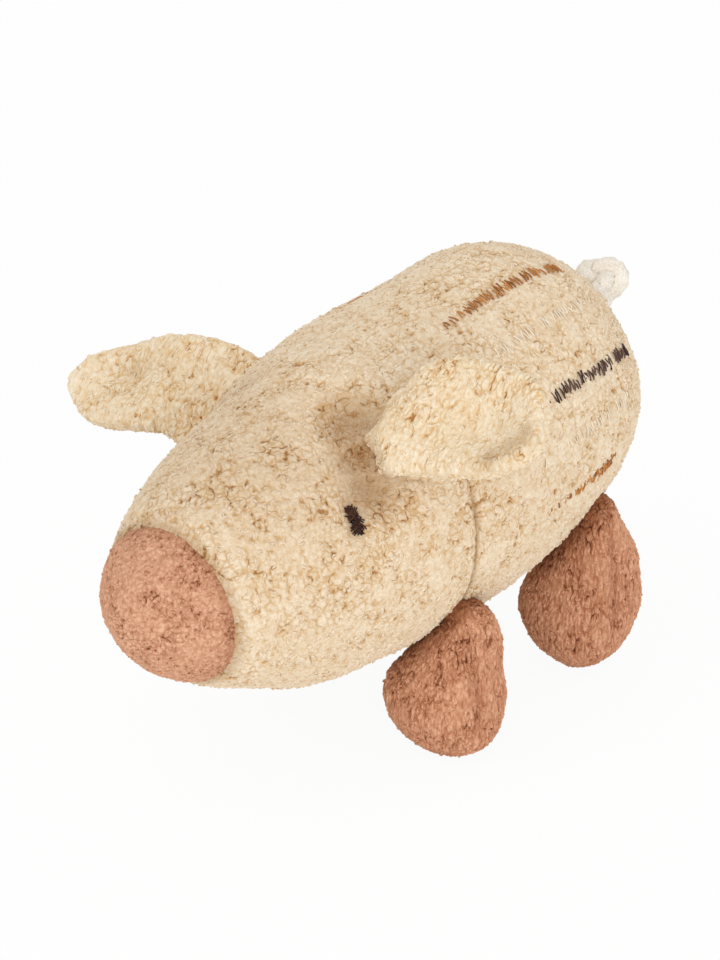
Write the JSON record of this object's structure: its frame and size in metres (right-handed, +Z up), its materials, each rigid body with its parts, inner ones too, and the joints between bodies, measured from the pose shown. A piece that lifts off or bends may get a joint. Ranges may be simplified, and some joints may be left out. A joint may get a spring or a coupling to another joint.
{
  "type": "stuffed toy piglet",
  "caption": "Stuffed striped piglet of looped terry with lop ears, stuffed legs sewn on at flat necks, embroidered eyes and a knotted cord tail.",
  "frame": {"origin": "on the ground under the middle of the toy's bounding box", "axes": "+Z up, +Y towards the tail, so the snout points along -Y, and +X towards the animal's left side"},
  "size_m": [0.163, 0.21, 0.1302],
  "materials": {
    "beige_terry": "long looped cotton terry, beige",
    "pale_terry": "long looped cotton terry, yellowish beige",
    "brown_terry": "fine looped cotton terry, reddish brown",
    "cotton_cord": "soft cotton cord, off-white",
    "fibre": "loose white polyester fibre",
    "eye_thread": "satin-stitched thread, dark brown",
    "caramel_thread": "zigzag-stitched thread, caramel",
    "cream_thread": "zigzag-stitched thread, cream",
    "dark_thread": "zigzag-stitched thread, dark brown"
  },
  "bodies": {
    "body": {"snout_cap": "brown_terry", "head_cover": "beige_terry", "back_cover": "beige_terry", "body_filling": "fibre", "eye_left": "eye_thread", "eye_right": "eye_thread", "stripe_left_caramel_upper": "caramel_thread", "stripe_left_cream_upper": "cream_thread", "stripe_left_dark_middle": "dark_thread", "stripe_left_cream_lower": "cream_thread", "stripe_left_caramel_lower": "caramel_thread", "stripe_right_caramel_upper": "caramel_thread", "stripe_right_cream_upper": "cream_thread", "stripe_right_dark_middle": "dark_thread", "stripe_right_cream_lower": "cream_thread", "stripe_right_caramel_lower": "caramel_thread"},
    "leg_front_left": {"leg_front_left_cover": "brown_terry", "leg_front_left_filling": "fibre"},
    "leg_front_right": {"leg_front_right_cover": "brown_terry", "leg_front_right_filling": "fibre"},
    "leg_rear_left": {"leg_rear_left_cover": "brown_terry", "leg_rear_left_filling": "fibre"},
    "leg_rear_right": {"leg_rear_right_cover": "brown_terry", "leg_rear_right_filling": "fibre"},
    "ear_left": {"ear_left_front": "pale_terry", "ear_left_back": "pale_terry"},
    "ear_right": {"ear_right_front": "pale_terry", "ear_right_back": "pale_terry"},
    "tail": {"tail_knot": "cotton_cord"}
  },
  "joints": [
    {"name": "leg_front_left_swing", "type": "hinge", "parent": "body", "child": "leg_front_left", "pos_m": [0.0397, -0.0101, 0.03738], "axis": [0.6691, 0, 0.7431], "range_deg": [-30, 30]},
    {"name": "leg_front_right_swing", "type": "hinge", "parent": "body", "child": "leg_front_right", "pos_m": [-0.0311, -0.0101, 0.03738], "axis": [0.6691, 0, -0.7431], "range_deg": [-30, 30]},
    {"name": "leg_rear_left_swing", "type": "hinge", "parent": "body", "child": "leg_rear_left", "pos_m": [0.04143, 0.05025, 0.04637], "axis": [0.6018, 0, 0.7986], "range_deg": [-30, 30]},
    {"name": "leg_rear_right_swing", "type": "hinge", "parent": "body", "child": "leg_rear_right", "pos_m": [-0.03283, 0.05025, 0.04637], "axis": [0.6018, 0, -0.7986], "range_deg": [-30, 30]},
    {"name": "ear_left_flap", "type": "hinge", "parent": "body", "child": "ear_left", "pos_m": [0.03092, -0.03129, 0.10418], "axis": [0.5155, -0.6531, -0.5548], "range_deg": [-30, 40]},
    {"name": "ear_right_flap", "type": "hinge", "parent": "body", "child": "ear_right", "pos_m": [-0.02972, -0.03138, 0.09818], "axis": [0.3942, 0.6546, 0.6451], "range_deg": [-30, 40]},
    {"name": "tail_swing", "type": "hinge", "parent": "body", "child": "tail", "pos_m": [0.00256, 0.08946, 0.09355], "axis": [1, 0, 0], "range_deg": [-30, 30]}
  ]
}
